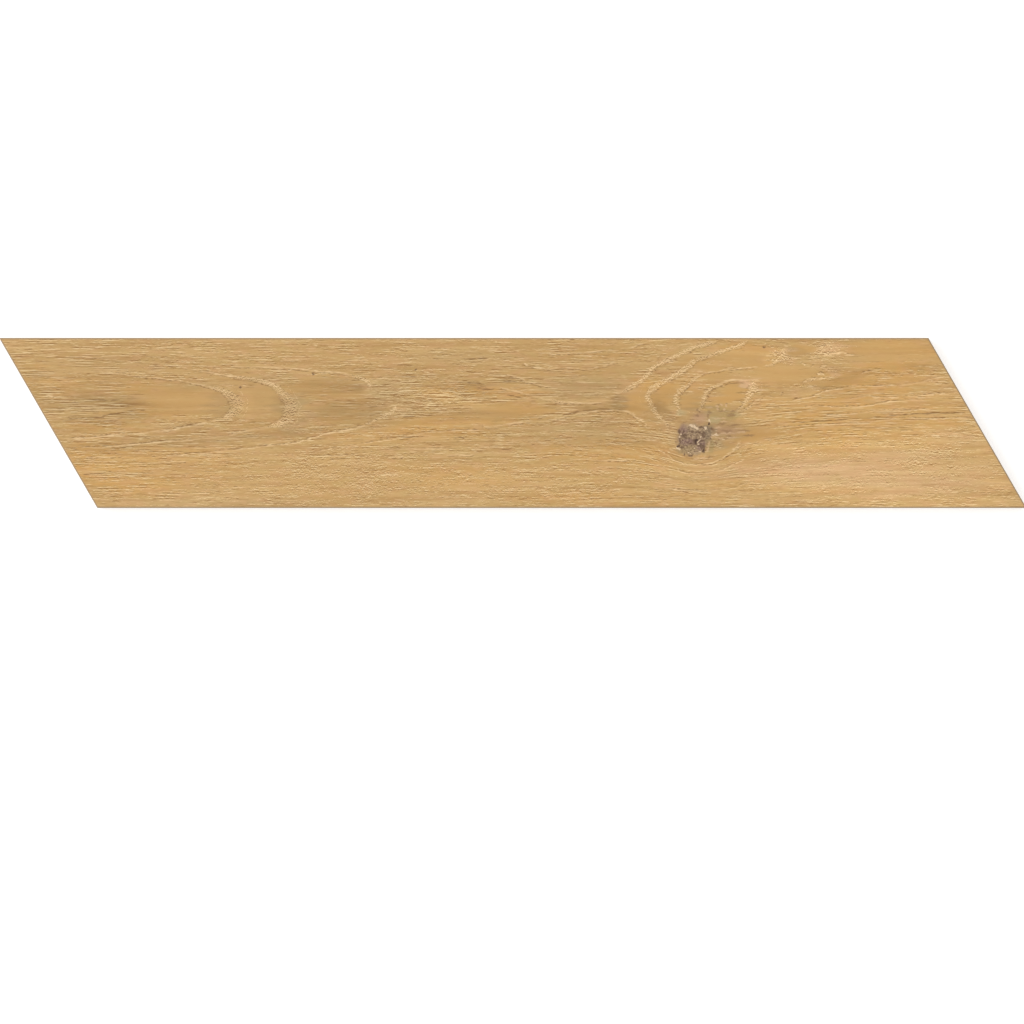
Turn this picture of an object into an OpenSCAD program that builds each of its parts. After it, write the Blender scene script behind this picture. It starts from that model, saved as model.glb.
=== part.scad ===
// Chevron wall tile: a pressed porcelain parallelogram, ground square on all four edges.
// It lies on its back with its face up. X runs along the long edges, Y across them.
// The origin is the middle of the underside, on the plane of the rib tops.

/* [Tile] */
// Width across the two long edges
tile_width = 74.5; // [50:0.5:120]
// Length from the far point of one end to the far point of the other
tile_length = 450; // [250:1:900]
// Thickness from the rib tops on the back to the face
tile_thick = 9; // [6:0.5:14]
// Angle between an end cut and a square end
end_angle = 30; // [0:1:45]

/* [Edges] */
// Bevel ground along the four edges of the face
face_bevel = 0.6; // [0.2:0.1:1.5]
// Bevel left along the four edges of the back
back_bevel = 0.9; // [0.3:0.1:1.5]

/* [Back key] */
// Plain rim between the tile's edge and the outer pockets
rim_width = 4; // [3:0.5:10]
// Smallest width of a key pocket at its mouth
pocket_size = 9; // [5:0.5:16]
// Width of the ribs between pockets
rib_width = 2; // [1.2:0.1:4]
// Depth of the pockets below the rib tops
pocket_depth = 0.8; // [0.4:0.1:1.5]
// Lean of the pocket walls, which lets the tile leave the press
pocket_draft = 40; // [0:5:50]

/* [Hidden] */

// How far cutting and crossing shapes run past what they cut
overrun = 1;

// The end cuts take this much off one corner of each end
end_run = tile_width * tan(end_angle);
// Length of each long edge, and the distance between the end cuts measured square to them
edge_length = tile_length - end_run;
end_span = edge_length * cos(end_angle);

// Lengths that carry a bar right across the tile, along its edges and along its end cuts
edge_bar = tile_length + 2 * overrun;
end_bar = tile_length * sin(end_angle) + tile_width * cos(end_angle) + 2 * overrun;

// Pockets are shared out evenly between the rims, none of them smaller than pocket_size
function pocket_count(span) =
    floor((span - 2 * rim_width + rib_width) / (pocket_size + rib_width));
function pocket_pitch(span) =
    (span - 2 * rim_width + rib_width) / pocket_count(span);

// Section of the tile from edge to edge: square sides, a bevel at the face and at the back
module slab_section(span) {
    half = span / 2;
    polygon([
        [back_bevel - half, 0],
        [half - back_bevel, 0],
        [half, back_bevel],
        [half, tile_thick - face_bevel],
        [half - face_bevel, tile_thick],
        [face_bevel - half, tile_thick],
        [-half, tile_thick - face_bevel],
        [-half, back_bevel],
    ]);
}

// Section of one key pocket: a trapezium that is narrower at its floor than at its mouth
module pocket_section(mouth) {
    at_mouth = mouth / 2;
    at_floor = at_mouth - pocket_depth * tan(pocket_draft);
    polygon([
        [-at_mouth, -overrun],
        [at_mouth, -overrun],
        [at_mouth, 0],
        [at_floor, pocket_depth],
        [-at_floor, pocket_depth],
        [-at_mouth, 0],
    ]);
}

// Sections of all the pockets side by side between the rims
module pocket_sections(span) {
    count = pocket_count(span);
    pitch = pocket_pitch(span);
    for (i = [0 : count - 1])
        translate([(i - (count - 1) / 2) * pitch, 0])
            pocket_section(pitch - rib_width);
}

// Carries a section along the long edges
module along_edges() {
    rotate([90, 0, 90])
        linear_extrude(height = edge_bar, center = true)
            children();
}

// Carries a section along the slanted end cuts
module along_ends() {
    rotate([90, 0, end_angle])
        linear_extrude(height = end_bar, center = true)
            children();
}

// The tile's body is what a slab along the edges and a slab along the ends have in common
module slab() {
    intersection() {
        along_edges() slab_section(tile_width);
        along_ends() slab_section(end_span);
    }
}

// The key pockets are where the lengthwise troughs cross the slanted ones
module key_pockets() {
    intersection() {
        along_edges() pocket_sections(tile_width);
        along_ends() pocket_sections(end_span);
    }
}

// One fired piece: the slab with the adhesive key pressed into its back
module tile() {
    color([0.78, 0.64, 0.43])
        difference() {
            slab();
            key_pockets();
        }
}

tile();
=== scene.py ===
import math

import bmesh
import bpy
import numpy as np
from mathutils import Matrix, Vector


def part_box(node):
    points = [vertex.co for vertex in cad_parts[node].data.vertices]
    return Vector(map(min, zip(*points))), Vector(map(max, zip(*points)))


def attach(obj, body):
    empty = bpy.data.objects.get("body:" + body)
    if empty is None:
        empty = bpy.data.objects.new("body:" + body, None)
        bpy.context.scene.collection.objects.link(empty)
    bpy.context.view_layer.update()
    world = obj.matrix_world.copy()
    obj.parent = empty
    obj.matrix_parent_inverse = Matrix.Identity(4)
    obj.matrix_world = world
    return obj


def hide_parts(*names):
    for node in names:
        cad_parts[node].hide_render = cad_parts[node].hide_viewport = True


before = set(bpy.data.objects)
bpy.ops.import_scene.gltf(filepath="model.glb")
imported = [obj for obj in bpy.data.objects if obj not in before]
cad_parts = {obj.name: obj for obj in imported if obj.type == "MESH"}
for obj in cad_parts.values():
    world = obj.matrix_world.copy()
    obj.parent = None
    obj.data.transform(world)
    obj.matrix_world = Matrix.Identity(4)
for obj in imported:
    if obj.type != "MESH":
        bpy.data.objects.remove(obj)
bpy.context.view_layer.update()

# The view of a catalogue scan: a long lens straight above, with the tile in the upper half.
# The picture is 1024 pixels wide, and its scale on the face comes from the tile's own length.
tile_low, tile_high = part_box("tile")
face_height = tile_high.z
pixels_along_tile = 1027.7
pixel = (tile_high.x - tile_low.x) / pixels_along_tile
tile_middle_in_picture = (512.85, 422.95)
picture_pixels = 1024
lens_length = 200
sensor_width = 36


def from_picture(x, y):
    """The place on the face that a pixel of the picture shows."""
    middle_x, middle_y = tile_middle_in_picture
    return (x - middle_x) * pixel, (middle_y - y) * pixel


def put_in_scene(name, data):
    """A new object that shows a camera, a lamp or a mesh."""
    item = bpy.data.objects.new(name, data)
    bpy.context.scene.collection.objects.link(item)
    return item


camera_data = bpy.data.cameras.new("camera")
camera_data.lens = lens_length
camera_data.sensor_width = sensor_width
camera = put_in_scene("camera", camera_data)
view_x, view_y = from_picture(picture_pixels / 2, picture_pixels / 2)
view_height = picture_pixels * pixel * lens_length / sensor_width
camera.location = (view_x, view_y, face_height + view_height)
bpy.context.scene.camera = camera

# A pale studio floor, which the tile lies on. The camera sees it as white paper, with a soft shadow.
# From below it is clear, also for light within a hair of the tile's back, so that the back shows.
MM = 0.001
floor_reach = 3.0
floor_lift = 0.46
floor_gap = 0.02 * MM
see_through_reach = 2.5 * MM


def paint(red, green, blue):
    """A colour given as it looks on a screen, 0 to 255, turned into the renderer's linear values."""
    # The numbers in here are the sRGB standard's own.
    def linear(value):
        share = value / 255
        return share / 12.92 if share <= 0.04045 else ((share + 0.055) / 1.055) ** 2.4
    return linear(red), linear(green), linear(blue), 1.0


def join(tree, value, socket):
    """Feeds a socket from another socket, or gives it a plain value."""
    if isinstance(value, bpy.types.NodeSocket):
        tree.links.new(value, socket)
    else:
        socket.default_value = value


def place_node(tree, kind, **settings):
    """A new node of a kind, with its settings made."""
    node = tree.nodes.new(kind)
    for name, value in settings.items():
        setattr(node, name, value)
    return node


def sum_up(tree, operation, *values):
    """One step of arithmetic on masks, lengths or heights."""
    node = place_node(tree, "ShaderNodeMath", operation=operation)
    for value, socket in zip(values, node.inputs):
        join(tree, value, socket)
    return node.outputs[0]


def seen_rays(tree):
    """The light path, and a mask of the rays that carry what the camera sees, also in gloss and glass."""
    rays = place_node(tree, "ShaderNodeLightPath")
    seen = sum_up(tree, "MAXIMUM", rays.outputs["Is Camera Ray"], rays.outputs["Is Glossy Ray"])
    return rays, sum_up(tree, "MAXIMUM", seen, rays.outputs["Is Transmission Ray"])


floor_paint = paint(236, 236, 236)
floor_mesh = bmesh.new()
bmesh.ops.create_grid(floor_mesh, x_segments=1, y_segments=1, size=floor_reach)
bmesh.ops.translate(floor_mesh, vec=(0, 0, -floor_gap), verts=floor_mesh.verts)
floor_data = bpy.data.meshes.new("floor")
floor_mesh.to_mesh(floor_data)
floor_mesh.free()
floor = put_in_scene("floor", floor_data)

floor_finish = bpy.data.materials.new("white_paper")
floor_finish.use_nodes = True
tree = floor_finish.node_tree
tree.nodes.clear()
paper = place_node(tree, "ShaderNodeBsdfDiffuse")
paper.inputs["Color"].default_value = floor_paint
paper_light = place_node(tree, "ShaderNodeEmission")
rays, seen = seen_rays(tree)
join(tree, sum_up(tree, "MULTIPLY", seen, floor_lift), paper_light.inputs["Strength"])
both = place_node(tree, "ShaderNodeAddShader")
tree.links.new(paper.outputs[0], both.inputs[0])
tree.links.new(paper_light.outputs[0], both.inputs[1])
from_below = place_node(tree, "ShaderNodeNewGeometry").outputs["Backfacing"]
near_the_back = sum_up(tree, "LESS_THAN", rays.outputs["Ray Length"], see_through_reach)
clear = place_node(tree, "ShaderNodeBsdfTransparent")
paper_or_clear = place_node(tree, "ShaderNodeMixShader")
join(tree, sum_up(tree, "MAXIMUM", from_below, near_the_back), paper_or_clear.inputs[0])
tree.links.new(both.outputs[0], paper_or_clear.inputs[1])
tree.links.new(clear.outputs[0], paper_or_clear.inputs[2])
floor_output = place_node(tree, "ShaderNodeOutputMaterial")
tree.links.new(paper_or_clear.outputs[0], floor_output.inputs["Surface"])
floor_data.materials.append(floor_finish)

# Soft studio light: a surround that the camera sees as white, and one broad lamp high on the left.
# Together they light the face at the level at which a colour renders as it is written.
light_level = 0.957
surround_share = 0.76 * light_level
lamp_share = light_level - surround_share
lamp_side = 2.4
lamp_distance = 4.0
lamp_height_angle = math.radians(48)
lamp_turn = math.radians(72)

world = bpy.data.worlds.new("surround")
world.use_nodes = True
tree = world.node_tree
tree.nodes["Background"].inputs["Color"].default_value = (1, 1, 1, 1)
_, seen = seen_rays(tree)
join(tree, sum_up(tree, "MAXIMUM", seen, surround_share), tree.nodes["Background"].inputs["Strength"])
bpy.context.scene.world = world

lamp_data = bpy.data.lights.new("softbox", "AREA")
lamp_data.shape = "SQUARE"
lamp_data.size = lamp_side
# On a level face this gives the lamp's share of full light, from that far and that high
lamp_data.energy = lamp_share * math.pi ** 2 * lamp_distance ** 2 / math.sin(lamp_height_angle)
lamp = put_in_scene("softbox", lamp_data)
lamp.matrix_world = (Matrix.Rotation(lamp_turn, 4, "Z")
                     @ Matrix.Rotation(lamp_height_angle - math.pi / 2, 4, "X")
                     @ Matrix.Translation((0, 0, lamp_distance)))

bpy.context.scene.view_settings.view_transform = "Standard"

# The tile's blank: one pressed and fired piece, ground square on its edges, with key pockets behind.
# The solid gives its edges and back. Its flat top is cut away, for the pressed face that comes next.
# The end angle and the bevel are the solid's own.
end_angle = math.radians(30)
bevel_drop = 0.6 * MM
bevel_width = 0.6 * MM
merge_gap = 0.002 * MM
flat_tilt = math.radians(0.5)
half_width = (tile_high.y - tile_low.y) / 2
half_edge = (tile_high.x - tile_low.x) / 2 - half_width * math.tan(end_angle)
side_top = face_height - bevel_drop
above_the_key = face_height / 2 - bevel_drop

ground_slot, back_slot, print_slot = range(3)

blank = bmesh.new()
blank.from_mesh(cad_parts["tile"].data)
bmesh.ops.remove_doubles(blank, verts=blank.verts, dist=merge_gap)
bmesh.ops.dissolve_limit(blank, angle_limit=flat_tilt, verts=blank.verts, edges=blank.edges)
flat_top = [side for side in blank.faces if side.calc_center_median().z > side_top]
bmesh.ops.delete(blank, geom=flat_top, context="FACES")
for side in blank.faces:
    side.material_index = ground_slot if side.calc_center_median().z > above_the_key else back_slot

# The face: a fine mesh laid as a leaning parallelogram, and rolled over its edges onto the bevel.
# The press gives it the wood's pores, growth lines and knot. It rises nowhere above the flat face.
face_columns = 480
face_rows = 190
bevel_along = bevel_width / math.cos(end_angle)
# How far out and how far down on the bevel the face rolls, in two steps
bevel_shares = ((0.25, 0.10), (1.0, 1.0))
lean = Matrix(((1, -math.tan(end_angle), 0, 0), (0, 1, 0, 0), (0, 0, 1, 0), (0, 0, 0, 1)))


def bevel_size(out_share):
    """Half the face's length along its edge and half its width, that far out on the bevel."""
    inset_share = 1 - out_share
    return half_edge - bevel_along * inset_share, half_width - bevel_width * inset_share


face = bmesh.new()
bmesh.ops.create_grid(face, x_segments=face_columns, y_segments=face_rows, size=1)
for pressed in face.faces:
    pressed.smooth = True
    pressed.material_index = print_slot
rim_along, rim_across = bevel_size(0)
bmesh.ops.transform(face, matrix=Matrix.Diagonal((rim_along, rim_across, 1, 1)), verts=face.verts)
bmesh.ops.translate(face, vec=(0, 0, face_height), verts=face.verts)
rim = [edge for edge in face.edges if edge.is_boundary]
down_so_far = 0.0
for out_share, down_share in bevel_shares:
    rolled = bmesh.ops.extrude_edge_only(face, edges=rim)["geom"]
    rim_verts = [item for item in rolled if isinstance(item, bmesh.types.BMVert)]
    for item in rolled:
        if isinstance(item, bmesh.types.BMFace):
            item.material_index = ground_slot
    along, across = bevel_size(out_share)
    widen = Matrix.Diagonal((along / rim_along, across / rim_across, 1, 1))
    bmesh.ops.transform(face, matrix=widen, verts=rim_verts)
    bmesh.ops.translate(face, vec=(0, 0, bevel_drop * (down_so_far - down_share)), verts=rim_verts)
    rim = [item for item in rolled if isinstance(item, bmesh.types.BMEdge) and item.is_boundary]
    rim_along, rim_across, down_so_far = along, across, down_share
bmesh.ops.transform(face, matrix=lean, verts=face.verts)
# The rolled sides come in another order in each run, so all are put in the order of their places
for parts, place_of in ((face.verts, lambda point: tuple(point.co)),
                        (face.faces, lambda side: tuple(side.calc_center_median()))):
    for order, part in enumerate(sorted(parts, key=place_of)):
        part.index = order
    parts.sort()
face_data = bpy.data.meshes.new("pressed_face")
face.to_mesh(face_data)
face.free()

for edge in [edge for edge in blank.edges if edge.is_boundary]:
    first, second = edge.verts
    runs_along = abs(first.co.y - second.co.y) < merge_gap
    bmesh.ops.bisect_edges(blank, edges=[edge], cuts=(face_columns if runs_along else face_rows) - 1)
blank.from_mesh(face_data)
bmesh.ops.remove_doubles(blank, verts=blank.verts, dist=merge_gap)
tile_data = bpy.data.meshes.new("chevron_tile")
blank.to_mesh(tile_data)
blank.free()
tile = put_in_scene("chevron_tile", tile_data)

# The oak figure: growth lines, each drawn as a few picture pixels with the line's breadth there.
# They nest in arches round the heart on the left, and bend round the knot and the eye on the right.
# A line has its dark side on its right. LOOP_LINES are drawn the other way, and turned round later.
ARCH_LINES = (
    # arches round the heart, from the inner one outwards
    ((98, 373, 1.0), (122, 374, 1.3), (140, 376.5, 1.2), (160, 378.5, 1.0), (176, 380, 0.9),
     (190, 383, 0.9), (206, 386, 1.6), (220, 390, 3.2), (231, 396, 6.0), (239, 405, 7.4),
     (233, 413, 6.0), (222, 418, 2.5), (207, 422, 1.6), (190, 426, 1.5), (168, 430, 1.5),
     (150, 432, 1.4), (126, 434.5, 1.4), (104, 436, 1.6), (80, 438.5, 1.6), (58, 438.5, 1.4)),
    ((160, 363, 1.0), (185, 368, 1.1), (205, 371.5, 1.7), (222, 375, 1.3), (240, 377.5, 2.6),
     (256, 380, 3.0), (269, 383.5, 3.5), (279, 390, 4.5), (286, 397, 6.0), (291, 406, 8.0),
     (289, 415, 8.0), (282, 423, 5.0), (268, 427, 2.2), (250, 430, 1.8), (235, 434, 2.2),
     (222, 437, 2.0), (205, 438.5, 1.5), (188, 440.5, 1.5), (168, 441.5, 1.4), (150, 443, 1.2),
     (130, 445, 1.5), (113, 446.5, 1.6), (98, 447.5, 1.4), (78, 447, 1.1)),
    ((230, 366, 1.0), (262, 367.5, 1.3), (280, 368, 1.8), (298, 369, 1.6), (317, 371, 1.7),
     (330, 371.5, 1.6), (340, 372.5, 1.8), (350, 375, 2.2), (359, 377.5, 2.8), (367, 381.5, 3.0),
     (370, 388, 2.4), (371, 393, 1.4)),
    ((396, 405, 3.0), (393, 410, 3.4), (387, 415, 3.0), (379, 418.5, 2.4), (372, 421.5, 2.6),
     (365, 425.5, 2.0), (358, 428, 1.8), (348, 430.3, 1.7), (338, 431.6, 1.6), (326, 434.2, 1.5),
     (317, 437, 1.3), (308, 439.2, 1.3), (300, 441.5, 1.3), (290, 444, 1.1), (281, 445, 1.1),
     (268, 445.8, 1.1), (256, 447.4, 1.1), (243, 449, 1.4), (230, 450.5, 1.5), (216, 451.5, 1.4),
     (208, 453.4, 1.0), (195, 454, 1.0), (182, 455, 1.2), (164, 456.5, 1.0)),
    ((482, 430.5, 1.2), (455, 431, 1.4), (436, 432, 1.5), (420, 434.5, 1.4), (404, 437.5, 1.2),
     (388, 439.5, 1.5), (374, 442, 1.2), (352, 446, 1.0), (330, 449, 1.0), (313, 453, 1.0)),
    ((452, 448.5, 1.2), (425, 449, 1.3), (400, 449.5, 1.2), (378, 451, 1.0), (352, 455, 1.0),
     (322, 456, 1.2), (306, 458, 1.0)),
    ((386, 457.5, 1.0), (397, 457.5, 1.4), (408, 457, 1.0)),
    ((443, 457, 1.0), (455, 455, 1.4), (468, 455, 1.3), (480, 454, 1.0)),
    ((82, 457, 1.0), (105, 457, 1.3), (127, 456, 1.0)),
    ((126, 464, 1.2), (150, 463, 1.2), (172, 462, 1.3), (191, 461, 1.0)),
    ((40, 356, 1.0), (50, 356, 1.4), (62, 355.5, 1.2)),
    ((70, 357, 1.0), (82, 356.5, 1.3), (96, 357.5, 1.2), (107, 356.5, 1.4)),
    ((172, 352, 1.2), (180, 352, 1.6), (190, 352.5, 1.2)),
    ((278, 360.5, 1.2), (290, 360, 1.5), (304, 361, 1.2)),
    ((43, 394, 1.2), (54, 396, 1.6), (66, 397, 1.0)),
    # the lens in the middle, and the lines above and below it
    ((498, 387, 1.2), (506, 389, 1.6), (514, 390.5, 1.9), (523, 393.3, 2.1), (533, 396, 2.1),
     (543, 399, 2.0), (552, 400, 2.2), (560, 402.3, 2.4), (572, 402.5, 1.7), (590, 403, 1.4),
     (606, 402.5, 1.2)),
    ((482, 423, 1.8), (486, 426.5, 2.2), (496, 426.2, 2.0), (507, 424.7, 2.0), (518, 423, 1.9),
     (530, 422, 1.9), (543, 422, 1.8), (552, 420.5, 1.6), (561, 418, 1.6), (572, 415, 1.6),
     (584, 412.5, 1.5), (600, 411, 1.4), (618, 410.5, 1.5), (628, 411.5, 2.0), (634, 415, 2.2),
     (640, 419, 1.8), (645, 424, 1.6), (651, 431, 1.4)),
    ((520, 362, 1.0), (535, 367.5, 1.2), (550, 369, 1.2), (562, 368, 1.3), (575, 368.5, 1.6),
     (590, 368.5, 1.4), (603, 366.5, 1.3), (613, 364, 1.2), (624, 361.5, 1.0)),
    ((546, 354, 1.0), (570, 353.5, 1.2), (592, 352, 1.3), (604, 351, 1.3), (617, 350, 1.6),
     (630, 348, 1.4), (640, 344.5, 1.3), (651, 341, 1.2)),
    ((504, 373.5, 1.5), (512, 376, 1.8), (520, 378.5, 2.0), (528, 382, 1.5), (543, 386, 1.2),
     (556, 387.5, 1.0)),
    ((454, 441, 1.2), (461, 440.5, 1.6), (468, 442, 1.2)),
    ((489, 447, 1.0), (493, 447, 1.6), (498, 447.5, 1.0)),
    ((556, 461, 1.0), (580, 459.5, 1.4), (600, 460.5, 1.2), (640, 460, 1.0)),
    # the right side of the eye
    ((752, 379, 4.0), (753, 384, 5.4), (752, 390, 4.8), (749, 396, 4.0), (745.5, 401, 3.2),
     (741, 407, 2.6), (736.5, 413, 2.2), (731, 418, 1.4)),
    ((757, 400, 2.0), (750, 406, 2.4), (744, 411.5, 2.2), (738, 418, 1.6)),
)
LOOP_LINES = (
    # loops that bulge left of the knot, from the outer one inwards
    ((719, 340.5, 2.4), (708, 343.5, 2.6), (698, 346.5, 2.8), (688, 350.5, 3.4), (676, 356, 3.2),
     (664, 361.5, 3.2), (654, 367, 3.4), (648, 373, 3.6), (643, 379, 3.4), (636, 383.5, 3.2),
     (629, 388, 2.8), (621, 392.5, 2.2), (612, 396, 1.4)),
    ((750, 340, 2.6), (740, 345, 3.2), (728, 349, 3.0), (718, 352.5, 2.8), (706, 357, 2.6),
     (697, 360, 2.8), (690, 364.5, 3.2), (683, 370, 3.6), (675, 375.5, 3.9), (666, 380, 3.4),
     (658, 384.5, 3.6), (651, 390, 4.0), (648, 396, 3.8), (649, 402, 3.6), (652, 407, 3.2),
     (656, 412, 3.2), (660, 417, 3.2), (663, 421, 2.6), (667, 426, 2.4), (668, 431, 1.8),
     (664, 435, 2.0)),
    ((762, 367, 0.9), (755, 367, 1.0), (745, 367.5, 1.6), (734, 368.5, 1.0), (720, 370.5, 0.9),
     (708, 372.5, 1.2), (700, 375, 1.8), (695, 379, 2.4), (689, 384.5, 3.0), (683, 389, 3.4),
     (678, 394, 3.6), (676.5, 400, 3.6), (678, 406, 3.2), (679, 412, 2.8), (679, 417, 2.2)),
    ((764, 382, 1.6), (752, 380, 2.2), (738, 379.5, 1.7), (726, 382, 1.8), (716, 386, 2.2),
     (709, 389.5, 3.2), (704.5, 395, 3.2), (702.5, 401, 2.8), (700.5, 407, 2.4), (697.5, 413, 1.8)),
    # bowls under the knot
    ((739.5, 438, 1.8), (738.5, 444, 2.2), (734.5, 450, 2.2), (728, 455, 2.0), (720, 459.5, 1.8),
     (710, 463, 1.5), (700, 464.5, 1.2)),
    ((650, 446, 0.8), (660, 451, 1.0), (667, 456, 1.0), (675, 461, 1.0), (688, 465, 0.9),
     (702, 465, 0.8), (714, 463, 0.7)),
    ((672, 468, 0.8), (684, 473, 1.0), (700, 474, 0.8), (718, 471, 0.9), (734, 465, 1.0),
     (748, 457, 1.0)),
    ((668, 489, 0.8), (690, 491, 1.0), (712, 491, 1.1), (730, 489, 1.1), (745, 484.5, 1.0),
     (760, 480, 0.8)),
    ((640, 439.5, 1.2), (653, 440, 1.3), (661, 437, 1.2)),
    # lines that rise away on the right
    ((789, 402, 1.0), (800, 398.5, 1.2), (812, 397, 1.3), (820, 394, 1.1), (829, 391, 1.1),
     (840, 389, 1.2), (852, 387.5, 1.3), (868, 386.5, 1.1), (884, 386, 1.0), (900, 385, 1.2),
     (912, 384, 1.2), (922, 382, 1.3), (934, 379, 1.8), (947, 376, 1.4)),
    ((840, 401, 0.8), (855, 398.5, 1.0), (868, 397, 1.2), (882, 397.5, 1.2), (896, 397, 1.0),
     (915, 396, 1.0), (935, 394.5, 1.2), (948, 394, 1.1), (960, 392, 1.0)),
    ((799, 408, 1.0), (815, 406, 0.9), (835, 407.5, 1.0), (852, 407, 1.0), (866, 406, 1.1),
     (880, 403.5, 1.2), (893, 401.5, 1.1), (910, 400.5, 1.0), (930, 400, 0.8)),
    ((822, 416.5, 1.0), (835, 415.5, 1.3), (848, 414, 1.4), (862, 412.5, 1.0), (876, 411.5, 1.3),
     (893, 410.5, 1.3), (910, 410, 0.8), (930, 409, 1.0)),
    ((770, 427.5, 0.8), (800, 426.5, 0.8), (822, 425, 1.1), (845, 424, 1.1), (862, 422.5, 1.0),
     (880, 421, 1.0), (890, 419.5, 1.2), (904, 418.5, 1.1), (930, 419, 1.0), (955, 418, 1.0),
     (975, 418, 0.8)),
    ((896, 433, 0.8), (906, 431.5, 1.2), (916, 431, 0.8)),
    ((948, 434, 1.0), (957, 433.5, 1.3), (968, 431.5, 1.0), (985, 430, 0.8)),
    # pale flames round the small eye on the upper right
    ((781, 342, 1.2), (784, 345, 2.2), (789, 345.5, 2.0), (793, 344, 1.2)),
    ((776, 347, 1.2), (775, 351, 2.2), (777, 355, 1.6)),
    ((784, 348, 1.4), (783, 353, 2.6), (781, 357, 2.0)),
    ((780, 359, 1.6), (775, 362.5, 2.6), (769, 365, 2.2), (760, 367, 1.2)),
    ((797, 360, 1.4), (800, 362, 2.0), (804, 365, 1.8), (807, 366, 1.2)),
    ((809, 369, 1.8), (812, 366, 2.6), (816, 364, 1.4)),
    ((817, 368.5, 1.8), (822, 366, 2.6), (830, 364, 1.4)),
    ((816, 377, 1.6), (818, 374, 2.8), (823, 374, 2.6), (826, 376, 1.4)),
    ((800, 383.5, 1.4), (806, 382, 2.2), (812, 379.5, 2.6), (820, 379, 2.0), (828, 377.5, 1.2)),
    ((820, 356, 1.8), (828, 354.5, 2.4), (836, 353.5, 2.2), (843, 352, 1.6), (850, 355, 1.4),
     (862, 355.5, 1.2)),
    ((818, 349, 1.4), (820, 347, 2.4), (828, 345, 1.4)),
    ((804, 359, 1.6), (814, 357.5, 2.0), (822, 359.5, 1.6)),
    ((756, 403, 1.6), (761, 401, 2.0), (767, 397.5, 1.9), (772, 398, 1.8), (777, 397.5, 1.4)),
    ((776.5, 393, 0.9), (778, 391, 1.0), (780, 391, 1.0), (781.5, 393, 1.0), (780, 395, 1.0),
     (778, 395, 1.0), (776.5, 393, 0.9)),
    ((858, 375, 1.2), (872, 371, 1.2), (884, 369, 1.2)),
)
DARK_LINES = (
    ((788, 423, 1.0), (815, 421, 1.5), (852, 419, 1.0)),
    ((66, 420, 1.2), (84, 418, 1.4), (100, 417, 1.3), (113, 413.5, 1.3), (132, 411, 1.2),
     (150, 410, 1.0)),
    ((86, 400.5, 1.0), (104, 400, 1.3), (124, 399.5, 1.0)),
    ((99, 445, 1.2), (105, 445, 1.8), (111, 444.5, 1.0)),
    ((465, 383, 1.8), (470, 382.5, 2.6), (478, 383, 2.2), (487, 386, 1.4)),
    ((472, 388, 1.4), (484, 388.8, 2.0), (498, 388.5, 1.4)),
    ((505, 394, 1.0), (515, 396.5, 1.4), (530, 399, 1.0)),
    ((560, 417, 1.0), (572, 413, 1.4), (585, 410.5, 1.5), (600, 409.5, 1.4), (615, 409.5, 1.3)),
    ((398, 377, 1.0), (408, 376.5, 1.4), (419, 376.5, 1.2)),
    ((415, 401, 1.0), (428, 400.5, 1.3), (440, 400.5, 1.0)),
    ((398, 417, 1.0), (409, 416.5, 1.5), (420, 416.5, 1.0)),
    ((452, 439, 1.0), (459, 437.5, 1.5), (468, 439, 1.0)),
    ((498, 449, 1.1), (506, 449, 1.3), (516, 448.5, 1.0)),
    ((612, 439, 1.0), (625, 438, 1.3), (640, 438, 1.0)),
    ((748, 383, 1.0), (738, 383, 1.1), (728, 384.5, 1.2), (718, 387.5, 1.3), (711, 391, 1.6),
     (708, 395, 1.6), (705.5, 400, 1.2)),
    ((693, 381, 1.0), (688, 387, 1.6), (682, 393, 1.8), (680, 399, 1.4)),
    ((108, 447.5, 1.0), (120, 447.5, 1.5), (137, 446, 1.0)),
    ((80, 474, 1.0), (94, 473.5, 1.5), (110, 473, 1.0)),
    ((326, 459, 1.0), (338, 458.5, 1.4), (352, 458, 1.0)),
    ((398, 438, 1.0), (412, 437.5, 1.4), (428, 436.5, 1.0)),
    ((466, 359, 1.0), (478, 358.5, 1.4), (492, 358, 1.0)),
    ((500, 380.5, 1.2), (509, 381, 1.6), (520, 382, 1.0)),
    ((868, 417.5, 1.2), (885, 417, 1.5), (900, 415, 1.6), (925, 413.5, 1.8), (950, 413, 1.6),
     (968, 412.5, 1.2)),
    ((733, 454, 1.0), (726, 457.5, 1.2), (716, 460, 1.0)),
)
# In picture pixels: the steps along a line, how far off a point still knows of it, how far it shows,
# and how long its ends taper. The lines are kept in this many layers.
line_step = 1.0
line_reach = 9.0
line_shown = 4.0
line_taper = 6.0
layer_count = 3


def drawn_line(points):
    """A smooth run through listed points: rows of x, y and breadth, about a pixel apart."""
    points = np.array(points, float)
    run = np.vstack([2 * points[0] - points[1], points, 2 * points[-1] - points[-2]])
    stretches = []
    for before, start, end, after in zip(run, run[1:], run[2:], run[3:]):
        count = max(2, round(float(np.hypot(*(end - start)[:2])) / line_step))
        t = np.arange(count)[:, None] / count
        stretches.append(start + t * (end - before) / 2
                         + t ** 2 * (before - 2.5 * start + 2 * end - after / 2)
                         + t ** 3 * (1.5 * (start - end) + (after - before) / 2))
    return np.vstack(stretches)


def share_out(lines):
    """Smooth runs of the lines, in layers in which no two runs lie close together."""
    layers = [[] for _ in range(layer_count)]
    for points in lines:
        run = drawn_line(points)

        def room(layer):
            return min((np.hypot(run[:, None, 0] - other[:, 0], run[:, None, 1] - other[:, 1]).min()
                        for other in layer), default=math.inf)

        max(layers, key=room).append(run)
    return layers


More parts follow.
